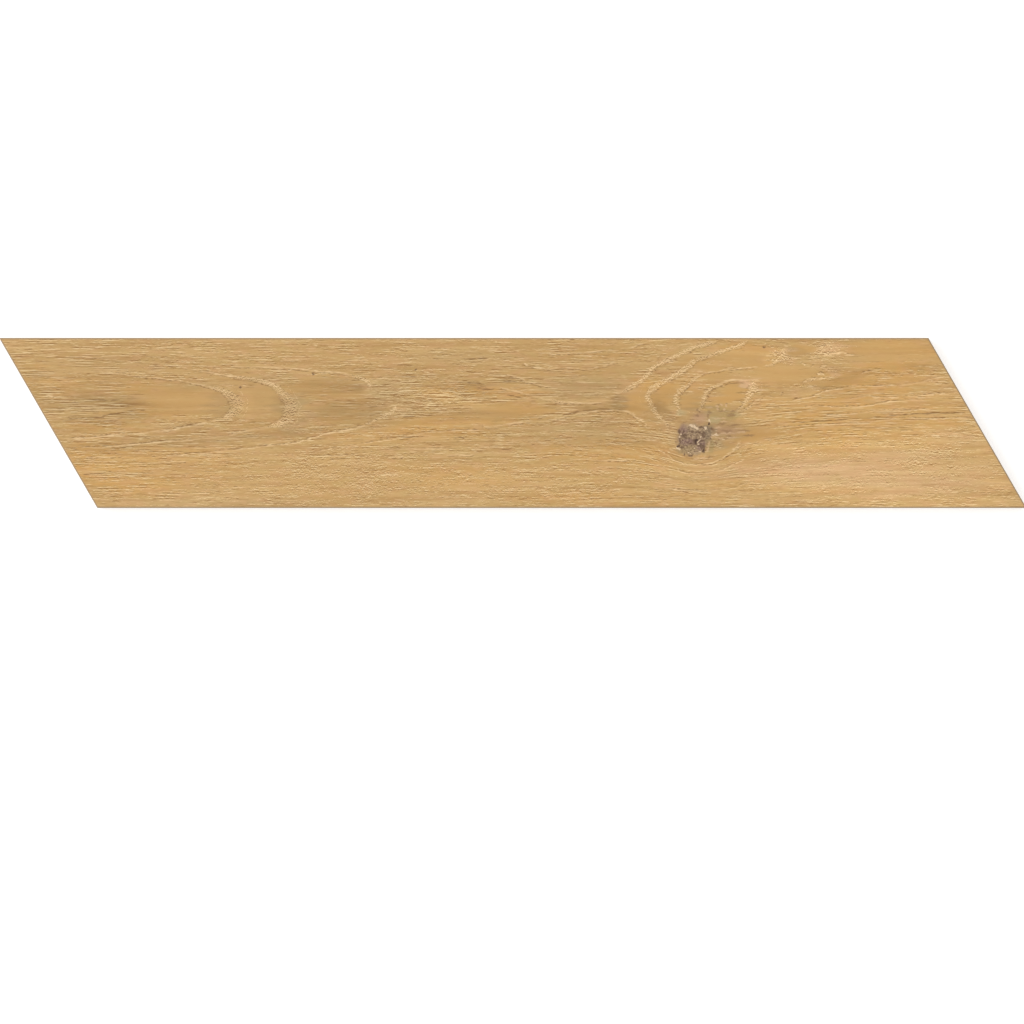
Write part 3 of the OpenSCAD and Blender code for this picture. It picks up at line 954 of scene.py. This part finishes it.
colour = tint(tree, sum_up(tree, "MULTIPLY", fibre_shade, 0.80), colour, fibre_brown)
colour = tint(tree, tick_light, colour, fibre_cream)
colour = tint(tree, tick_shade, colour, fibre_brown)
# The cream edge below each pore is a painted highlight.
colour = tint(tree, sum_up(tree, "MULTIPLY", pore_highlight, 0.30), colour, fibre_cream)
colour = tint(tree, sum_up(tree, "MULTIPLY", pore_dark, 0.20), colour, fibre_brown)

cut = grain_noise(tree, along, across, 3.5 * MM, 0.45 * MM, seed=4.9)
cut = sum_up(tree, "MULTIPLY", sum_up(tree, "SUBTRACT", cut, 0.5), cut_reach)


def line_masks(tree, name):
    """A layer of growth lines as masks: the thin cream lines, their dark right sides, the broad bands."""
    away, breadth, steep = stored(tree, name)
    away = sum_up(tree, "MULTIPLY_ADD", steep, cut, away)
    half = sum_up(tree, "MAXIMUM", sum_up(tree, "MULTIPLY", breadth, thin_share),
                  sum_up(tree, "SUBTRACT", breadth, band_rim))
    shown = rise(tree, breadth, *shown_breadth)
    outwards = sum_up(tree, "DIVIDE", sum_up(tree, "ABSOLUTE", away),
                      sum_up(tree, "ADD", half, never_zero))
    inside = rise(tree, outwards, *line_edge)
    band = sum_up(tree, "MULTIPLY", inside, rise(tree, breadth, *band_breadth))
    line = sum_up(tree, "SUBTRACT", inside, band)
    band = sum_up(tree, "MULTIPLY", band, rise(tree, breadth, *faint_breadth, 1.0, 0.5))
    side_gap = sum_up(tree, "SUBTRACT", sum_up(tree, "SUBTRACT", away, half), shade_gap)
    side = rise(tree, sum_up(tree, "ABSOLUTE", side_gap), *side_edge)
    return [sum_up(tree, "MULTIPLY", mask, shown) for mask in (line, side, band)]


growth_masks = [line_masks(tree, f"growth_{number}") for number in range(layer_count)]
growth_cream, growth_side, growth_band = (
    sum_up(tree, "MAXIMUM", sum_up(tree, "MAXIMUM", first, second), third)
    for first, second, third in zip(*growth_masks))
dark_line, _, _ = line_masks(tree, "drawn_dark")

dash = grain_noise(tree, along, across, 3.0 * MM, 0.40 * MM, seed=9.4)
dash = rise(tree, dash, 0.36, 0.58, 0.15, 1.0)
gaps = grain_noise(tree, along, across, 1.6 * MM, 0.40 * MM, seed=1.9)
gaps = rise(tree, gaps, 0.42, 0.62)
fading = grain_noise(tree, along, across, 18 * MM, 5 * MM, seed=2.2)
fading = rise(tree, fading, 0.35, 0.60, 0.4, 1.0)
cream_dashes = sum_up(tree, "MULTIPLY", sum_up(tree, "MULTIPLY", growth_cream, dash), fading)
side_dashes = sum_up(tree, "MULTIPLY", sum_up(tree, "MULTIPLY", growth_side, gaps), fading)
dark_dashes = sum_up(tree, "MULTIPLY", dark_line, dash)
colour = tint(tree, sum_up(tree, "MULTIPLY", side_dashes, 0.68), colour, line_brown)
colour = tint(tree, sum_up(tree, "MULTIPLY", dark_dashes, 0.75), colour, line_brown)
colour = tint(tree, sum_up(tree, "MULTIPLY", cream_dashes, 0.85), colour, line_cream)

# Specks in the bands are drawn with the same painted emboss: each cream speck is painted highlight beside
# a brown one of painted shade.
speck, _ = painted_emboss(tree, along, across, 0.68 * MM, 0.46 * MM, seed=4.4, wander=0.8)
speck_highlight = sum_up(tree, "MULTIPLY", rise(tree, speck, -0.10, 0.12), growth_band)
speck_shade = sum_up(tree, "MULTIPLY", rise(tree, speck, -0.03, -0.22), rise(tree, growth_band, 0.0, 0.5))
speck_shade = sum_up(tree, "MULTIPLY", speck_shade, rise(tree, growth_band, 0.55, 0.95, 0.85, 0.22))
colour = tint(tree, sum_up(tree, "MULTIPLY", speck_highlight, 0.92), colour, line_cream)
colour = tint(tree, speck_shade, colour, line_brown)

# The knot's print: dead heartwood between a dark rim and a pale split, and the stained wood round it.
# Its marks are ovals, given one by one: picture place, half length, half breadth and turn in degrees.
KNOT_HALO = ((694, 438, 21, 19, 0), (722, 427, 22, 8, 0))
KNOT_MOSS = ((718, 413, 12, 9, 0), (731, 416, 9, 4, 10), (711, 447, 3, 6, -15))
KNOT_MOSS_PALE = ((714.5, 420, 5.5, 3.5, 0), (681, 413, 5, 3, 0))
KNOT_BLUSH = ((700, 419, 8, 6, 0), (724, 431, 15, 4, 0))
KNOT_BODY = ((691.8, 440, 14, 15.5, 0), (705, 433, 7, 7, 0))
KNOT_ASH = ((691, 427, 9, 3.2, -8), (704.6, 428.4, 1.8, 2.2, 0), (696, 452, 5, 2, 10))
KNOT_OLIVE = ((689.5, 449.5, 9.5, 4.8, 0), (681, 451, 4, 3.5, 0))
KNOT_UMBER = ((709, 430, 6, 5.5, 0), (707, 438, 4.5, 5, 0), (713.5, 430.5, 4, 3, 0))
KNOT_VIOLET = (
    (687, 441.5, 8, 3, 0), (701.5, 443, 3.5, 4.5, 0), (683, 430, 4, 5, 0), (700, 448, 4, 2.5, 0),
)
KNOT_DARK = (
    (684, 435.5, 3.2, 1.8, 0), (703.5, 434.5, 2.4, 3.2, 0), (692.5, 431.5, 2.2, 1.2, 0),
    (699, 432.2, 4.5, 1.0, -8), (679.6, 431.5, 1.0, 2.5, 0), (679.6, 441.5, 0.9, 3.0, 0),
    (695.2, 441.4, 2.0, 3.2, 0), (702.4, 446.8, 2.8, 2.4, 0), (690.5, 443.5, 2.5, 0.8, 0),
    (701.5, 440.8, 2.8, 1.2, 0), (700.5, 445.4, 4.0, 0.9, 0), (704, 450.4, 1.2, 2.6, 0),
    (690.5, 455.4, 2.8, 0.7, 0), (684.5, 454.3, 0.7, 1.4, 0), (682.3, 447.5, 2.0, 1.2, -20),
    (712, 428.8, 1.3, 1.4, 0), (701, 427, 2.5, 1.1, 0), (711, 437, 0.8, 2.0, 0),
    (686, 438, 2.6, 0.7, 0), (683, 432, 1.2, 0.8, 0),
)
KNOT_BLACK = (
    (696.3, 440.4, 2.0, 1.3, 0), (695.2, 442.2, 1.0, 1.6, 0), (698.0, 443.0, 1.0, 0.8, 0),
    (678.4, 446.0, 1.6, 0.9, 20), (703.2, 451.0, 1.0, 0.9, 0), (708.8, 424.0, 0.8, 1.2, 0),
)
KNOT_PALE = (
    (691, 425.6, 2.8, 0.9, -15), (695.9, 427.6, 3.8, 1.0, -38), (678.4, 448.5, 2.6, 1.0, -35),
    (698.9, 440.6, 3.4, 0.35, 58), (698.4, 444.0, 0.7, 0.9, 0), (701.0, 437.0, 0.7, 0.9, 0),
    (694.5, 434.4, 0.6, 0.5, 0), (694.6, 447.8, 0.5, 1.0, 0), (700.5, 451.6, 1.4, 0.4, 0),
    (690.0, 452.5, 1.6, 0.4, -15), (681.0, 434.2, 0.6, 0.8, 0), (679.4, 437.2, 0.6, 1.0, 0),
    (709.2, 420.5, 0.8, 1.8, 0), (715, 434.6, 4.0, 0.7, 0), (705.5, 428, 1.2, 1.4, 0),
)
KNOT_STREAKS_PALE = (
    (717, 427.6, 4.0, 0.8, 0), (727, 433.4, 8.0, 0.8, 2), (741, 432.5, 5.0, 0.8, 6),
    (716, 430.6, 1.6, 1.0, 0), (738, 428, 5.0, 0.7, 4), (720, 438.4, 5.0, 0.7, -4),
    (733, 437.6, 6.0, 0.7, 0), (713, 436.6, 3.0, 0.7, 0), (724, 421.4, 4.0, 0.8, 0),
    (719, 418.4, 7.0, 0.7, 0), (709, 407.6, 3.0, 0.8, 0), (717, 406.5, 2.0, 0.8, 0),
    (726.6, 405.5, 1.2, 1.4, 0), (721.5, 404.5, 1.6, 0.8, 0), (717.5, 409, 0.9, 1.4, 0),
    (724.5, 409.5, 1.0, 1.2, 0), (709, 444, 1.2, 2.0, 0), (708, 449, 1.2, 2.4, 0),
    (703, 457.5, 3.0, 0.8, 10), (696, 459, 3.0, 0.8, 0),
)
KNOT_STREAKS_DARK = (
    (727, 431, 5.0, 1.2, 0), (733, 425.5, 6.0, 0.8, 4), (719, 433.0, 2.4, 0.8, 0),
    (729, 436.2, 3.0, 0.7, 0), (744, 430.8, 7.0, 0.8, 3), (748, 435.4, 6.0, 1.0, 0),
    (713, 429.6, 1.4, 2.0, 0), (721, 424, 5.0, 1.0, 10), (719, 404.8, 2.0, 0.8, 0),
    (718.4, 408.4, 1.4, 0.9, 0), (727, 403.8, 1.4, 0.8, 0), (733, 411.2, 4.0, 1.0, 0),
    (731, 415.2, 4.4, 1.2, 0), (709.4, 412, 2.4, 1.2, 0), (698, 410, 1.2, 1.6, 0),
    (699.6, 412.2, 1.0, 1.2, 0), (697, 415.6, 1.4, 1.2, 0), (723, 411.4, 6.0, 0.8, 0),
    (707.6, 415.6, 1.2, 1.8, 0), (692, 419.6, 1.8, 0.7, 0), (684, 422.6, 3.0, 0.8, 20),
    (709, 457, 2.0, 0.7, 30), (675, 442, 0.9, 2.0, 0), (716, 442.6, 1.0, 1.4, 0),
)
WORM_HOLES = (
    (416, 369.5, 1.6, 1.0, 0), (313, 374, 1.4, 1.0, 0), (240, 387, 1.5, 0.9, 0),
    (764, 347, 1.5, 1.0, 0),
)
wobble_reach = 2.0 * MM
wobble_scale = 620.0
mottle_scale = 1250.0


def even_noise(tree, place, scale, detail):
    """The outputs of a noise that is alike in all directions."""
    noise = place_node(tree, "ShaderNodeTexNoise")
    join(tree, place, noise.inputs["Vector"])
    join(tree, scale, noise.inputs["Scale"])
    noise.inputs["Detail"].default_value = detail
    return noise.outputs


object_place = place_node(tree, "ShaderNodeTexCoord").outputs["Object"]
wobble = even_noise(tree, object_place, wobble_scale, detail=2.0)


def move(tree, operation, *values):
    """One step of arithmetic on places, which gives a place."""
    node = place_node(tree, "ShaderNodeVectorMath", operation=operation)
    for value, socket in zip(values, node.inputs):
        join(tree, value, socket)
    return node.outputs["Vector"]


centred = move(tree, "SUBTRACT", wobble["Color"], (0.5, 0.5, 0.5))
wobbled_place = move(tree, "MULTIPLY_ADD", centred, (wobble_reach, wobble_reach, 0), object_place)


def ovals(tree, marks, soft):
    """A mask of wobbling ovals, each a picture place, half length, half breadth and turn."""
    mask = 0.0
    for x, y, half_length, half_breadth, turn in marks:
        length, breadth, turn = half_length * pixel, half_breadth * pixel, math.radians(turn)
        gone = move(tree, "SUBTRACT", wobbled_place, (*from_picture(x, y), 0))
        share = move(tree, "MULTIPLY", gone, (math.cos(turn) / length, math.cos(turn) / breadth, 0))
        if turn:
            aside = move(tree, "CROSS_PRODUCT", gone, (0, 0, 1))
            turned = (math.sin(turn) / length, math.sin(turn) / breadth, 0)
            share = move(tree, "MULTIPLY_ADD", aside, turned, share)
        outwards = place_node(tree, "ShaderNodeVectorMath", operation="LENGTH")
        join(tree, share, outwards.inputs[0])
        inside = rise(tree, outwards.outputs["Value"], 1 + soft, 1 - soft)
        mask = sum_up(tree, "MAXIMUM", mask, inside)
    return mask


def stain(tree, colour, marks, soft, strength, over):
    """Stains the colour inside listed ovals, and gives the mask too."""
    mask = ovals(tree, marks, soft)
    return tint(tree, sum_up(tree, "MULTIPLY", mask, strength), colour, over), mask


knot_brown = paint(149, 123, 95)
knot_ash = paint(188, 158, 121)
knot_dark = paint(104, 76, 50)
colour, _ = stain(tree, colour, KNOT_HALO, 0.60, 0.50, paint(172, 136, 92))
colour, _ = stain(tree, colour, KNOT_BLUSH, 0.60, 0.50, paint(184, 142, 106))
colour, _ = stain(tree, colour, KNOT_MOSS, 0.55, 0.50, paint(164, 142, 88))
colour, _ = stain(tree, colour, KNOT_MOSS_PALE, 0.50, 0.55, paint(190, 170, 122))
colour, in_knot = stain(tree, colour, KNOT_BODY, 0.26, 0.85, knot_brown)
colour, _ = stain(tree, colour, KNOT_UMBER, 0.50, 0.55, paint(136, 116, 86))
colour, _ = stain(tree, colour, KNOT_OLIVE, 0.50, 0.60, paint(166, 138, 92))
colour, _ = stain(tree, colour, KNOT_ASH, 0.50, 0.55, knot_ash)
colour, _ = stain(tree, colour, KNOT_VIOLET, 0.55, 0.70, paint(134, 100, 92))
mottle = even_noise(tree, object_place, mottle_scale, detail=2.0)[0]
mottle_dark = sum_up(tree, "MULTIPLY", rise(tree, mottle, 0.50, 0.64, 0.0, 0.75), in_knot)
mottle_pale = sum_up(tree, "MULTIPLY", rise(tree, mottle, 0.48, 0.35, 0.0, 0.70), in_knot)
colour = tint(tree, mottle_dark, colour, knot_dark)
colour = tint(tree, mottle_pale, colour, knot_ash)
colour, _ = stain(tree, colour, KNOT_DARK, 0.40, 0.80, knot_dark)
colour, _ = stain(tree, colour, KNOT_BLACK, 0.35, 0.90, paint(62, 34, 16))
colour, _ = stain(tree, colour, KNOT_STREAKS_DARK, 0.50, 0.60, paint(150, 112, 72))
colour, _ = stain(tree, colour, KNOT_STREAKS_PALE, 0.50, 0.60, paint(222, 184, 140))
colour, _ = stain(tree, colour, KNOT_PALE, 0.35, 0.85, paint(236, 206, 168))
colour, _ = stain(tree, colour, WORM_HOLES, 0.50, 0.80, paint(112, 78, 46))

# The finished glaze: the patches make the print lighter or darker, and its fibres are pressed in
# as fine bumps. It is matt, and a little glossier on the pale side of each fibre.
patch_strength = 2.2
press_depth = 0.05 * MM


def give_height(tree, height, shader):
    """Bumps a shader's surface by a height in metres."""
    bump = place_node(tree, "ShaderNodeBump")
    join(tree, height, bump.inputs["Height"])
    bump.inputs["Distance"].default_value = 1.0
    join(tree, bump.outputs[0], shader.inputs["Normal"])


lit = place_node(tree, "ShaderNodeHueSaturation")
join(tree, colour, lit.inputs["Color"])
join(tree, sum_up(tree, "MULTIPLY_ADD", patch_light, patch_strength, 1.0), lit.inputs["Value"])
tree.links.new(lit.outputs[0], glaze.inputs["Base Color"])

press = sum_up(tree, "MULTIPLY_ADD", long_streaks, crowd, fine_streaks)
press = sum_up(tree, "MULTIPLY", press, lively)
give_height(tree, sum_up(tree, "MULTIPLY", press, -press_depth), glaze)
join(tree, rise(tree, texture, -0.5, 0.5, 0.62, 0.48), glaze.inputs["Roughness"])

# The ground edges and the back show the fired body: a beige, even porcelain with dark specks.
# The back carries a pale kiln wash: uneven on the ribs, thin in the pockets, missing from their walls.
body_paint = paint(188, 163, 132)
body_speck_paint = paint(132, 108, 82)
body_pale_paint = paint(206, 184, 156)
wash_paint = paint(214, 202, 184)
grinding_paint = paint(204, 182, 152)
# A darker tan laid on the arris: painted shade, as of the bevel in shadow.
arris_painted_shade = paint(170, 140, 101)
cloud_scale = 120.0
wash_scale = 90.0
speck_bump = 0.06 * MM
scratch_bump = 0.04 * MM
wash_bump = 0.10 * MM
arris_shade_blend = 0.1 * MM
key_depth = 0.8 * MM

porcelain = bpy.data.node_groups.new("fired_porcelain", "ShaderNodeTree")
for going, kind, names in (("INPUT", "NodeSocketVector", ("Place",)),
                           ("INPUT", "NodeSocketColor", ("Body", "Speck", "Pale")),
                           ("INPUT", "NodeSocketFloat", ("Speck Size", "Speck Amount")),
                           ("OUTPUT", "NodeSocketColor", ("Colour",)),
                           ("OUTPUT", "NodeSocketFloat", ("Roughness", "Height"))):
    for name in names:
        porcelain.interface.new_socket(name=name, in_out=going, socket_type=kind)
tree = porcelain
given = place_node(tree, "NodeGroupInput").outputs
speck_scale = sum_up(tree, "DIVIDE", 1.0, given["Speck Size"])
specks = even_noise(tree, given["Place"], speck_scale, detail=2.0)[0]
clouds = even_noise(tree, given["Place"], cloud_scale, detail=3.0)[0]
speck_mask = sum_up(tree, "MULTIPLY", rise(tree, specks, 0.56, 0.72), given["Speck Amount"])
colour = tint(tree, rise(tree, clouds, 0.35, 0.70, 0.0, 0.8), given["Body"], given["Pale"])
colour = tint(tree, speck_mask, colour, given["Speck"])
group_out = place_node(tree, "NodeGroupOutput").inputs
join(tree, colour, group_out["Colour"])
join(tree, rise(tree, specks, 0.3, 0.7, 0.78, 0.62), group_out["Roughness"])
join(tree, sum_up(tree, "MULTIPLY", specks, -speck_bump), group_out["Height"])


def porcelain_finish(name, speck_size, speck_amount):
    """A new material with the fired body in it: its tree, shader, group and place on the object."""
    finish = bpy.data.materials.new(name)
    finish.use_nodes = True
    grain = place_node(finish.node_tree, "ShaderNodeGroup", node_tree=porcelain)
    place = place_node(finish.node_tree, "ShaderNodeTexCoord").outputs["Object"]
    join(finish.node_tree, place, grain.inputs["Place"])
    for socket, value in (("Body", body_paint), ("Speck", body_speck_paint), ("Pale", body_pale_paint),
                          ("Speck Size", speck_size), ("Speck Amount", speck_amount)):
        grain.inputs[socket].default_value = value
    return finish, finish.node_tree, finish.node_tree.nodes["Principled BSDF"], grain, place


ground, tree, ground_shader, grain, place = porcelain_finish(
    "ground_porcelain_edge", speck_size=0.9 * MM, speck_amount=0.45)
place_x, place_y, place_z = split(tree, place)
run_length = sum_up(tree, "ADD", place_x, place_y)
scratches = grain_noise(tree, run_length, place_z, 30 * MM, 0.14 * MM, detail=2.0, seed=0.7)
scratch_mask = rise(tree, scratches, 0.50, 0.68, 0.0, 0.55)
colour = tint(tree, scratch_mask, grain.outputs["Colour"], grinding_paint)
# The arris round the face is darkened by painted shade, blended in over a short height.
arris_shade_amount = rise(tree, place_z, side_top - arris_shade_blend, side_top + arris_shade_blend, 0.0, 0.85)
join(tree, tint(tree, arris_shade_amount, colour, arris_painted_shade), ground_shader.inputs["Base Color"])
join(tree, grain.outputs["Roughness"], ground_shader.inputs["Roughness"])
height = sum_up(tree, "MULTIPLY_ADD", scratches, -scratch_bump, grain.outputs["Height"])
give_height(tree, height, ground_shader)

washed, tree, washed_shader, grain, place = porcelain_finish(
    "kiln_washed_back", speck_size=1.6 * MM, speck_amount=0.35)
_, _, place_z = split(tree, place)
brushed = even_noise(tree, place, wash_scale, detail=5.0)[0]
on_ribs = rise(tree, place_z, 0.6 * key_depth, 0.1 * key_depth)
wash_mask = sum_up(tree, "MULTIPLY", on_ribs, rise(tree, brushed, 0.30, 0.62, 0.25, 0.95))
in_pockets = rise(tree, place_z, 0.85 * key_depth, 0.98 * key_depth, 0.0, 0.35)
wash_mask = sum_up(tree, "MAXIMUM", wash_mask, sum_up(tree, "MULTIPLY", in_pockets, brushed))
join(tree, tint(tree, wash_mask, grain.outputs["Colour"], wash_paint), washed_shader.inputs["Base Color"])
join(tree, grain.outputs["Roughness"], washed_shader.inputs["Roughness"])
height = sum_up(tree, "MULTIPLY_ADD", brushed, wash_bump, grain.outputs["Height"])
give_height(tree, height, washed_shader)

for finish in (ground, washed, oak):
    tile_data.materials.append(finish)

# The flat map that the finishes are baked through, laid out on a square sheet of this many pixels.
# The face is cut in half across its middle and laid twice as large as the back and the edges.
# Sizes on the sheet are in pixels, and a scale is in pixels to a metre.
sheet_pixels = 1024
sheet_margin = 6
sheet_left = 23
face_scale = 4.8 / MM
plain_scale = 2.4 / MM
edge_gap = 28
lies_flat = 0.3
turned_to_end = 0.5

sides = tile_data.polygons
side_of_corner = np.repeat(np.arange(len(sides)), mesh_values(sides, "loop_total", kind=int))
corner = co[mesh_values(tile_data.loops, "vertex_index", kind=int)]
corner_lean = corner[:, 0] + corner[:, 1] * math.tan(end_angle)
normal = mesh_values(sides, "normal", 3)[side_of_corner]
centre = mesh_values(sides, "center", 3)[side_of_corner]
centre_lean = centre[:, 0] + centre[:, 1] * math.tan(end_angle)
sheet_place = np.zeros((len(corner), 2))
row_height = 2 * half_width * face_scale + sheet_margin
plain_row = sheet_margin + 2 * row_height
edge_row = plain_row + 2 * half_width * plain_scale + sheet_margin


def lay_out(chosen, across, up, scale, left, bottom):
    """Places the chosen corners on the sheet by two lengths along the tile."""
    sheet_place[chosen, 0] = left + across[chosen] * scale
    sheet_place[chosen, 1] = bottom + up[chosen] * scale


is_face = normal[:, 2] > lies_flat
is_back = normal[:, 2] < -lies_flat
is_edge = ~is_face & ~is_back
is_end = is_edge & (np.abs(normal[:, 0]) > turned_to_end)
is_long = is_edge & ~is_end
from_low_edge = corner[:, 1] + half_width
from_left = corner_lean + half_edge
along_end = from_low_edge / math.cos(end_angle)
ends_row = edge_row + 2 * edge_gap
lay_out(is_face & (centre_lean < 0), from_left, from_low_edge, face_scale,
        sheet_left, sheet_margin)
lay_out(is_face & (centre_lean >= 0), corner_lean, from_low_edge, face_scale,
        sheet_left, sheet_margin + row_height)
lay_out(is_back, from_left, from_low_edge, plain_scale, sheet_left, plain_row)
lay_out(is_long & (normal[:, 1] < 0), from_left, corner[:, 2], plain_scale,
        sheet_left, edge_row)
lay_out(is_long & (normal[:, 1] > 0), from_left, corner[:, 2], plain_scale,
        sheet_left, edge_row + edge_gap)
lay_out(is_end & (normal[:, 0] < 0), along_end, corner[:, 2], plain_scale,
        sheet_left, ends_row)
lay_out(is_end & (normal[:, 0] > 0), along_end, corner[:, 2], plain_scale,
        sheet_left + sheet_pixels / 2, ends_row)
flat_map = tile_data.uv_layers.new(name="OFBake")
flat_map.data.foreach_set("uv", (sheet_place / sheet_pixels).ravel())

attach(tile, "root")
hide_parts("tile")
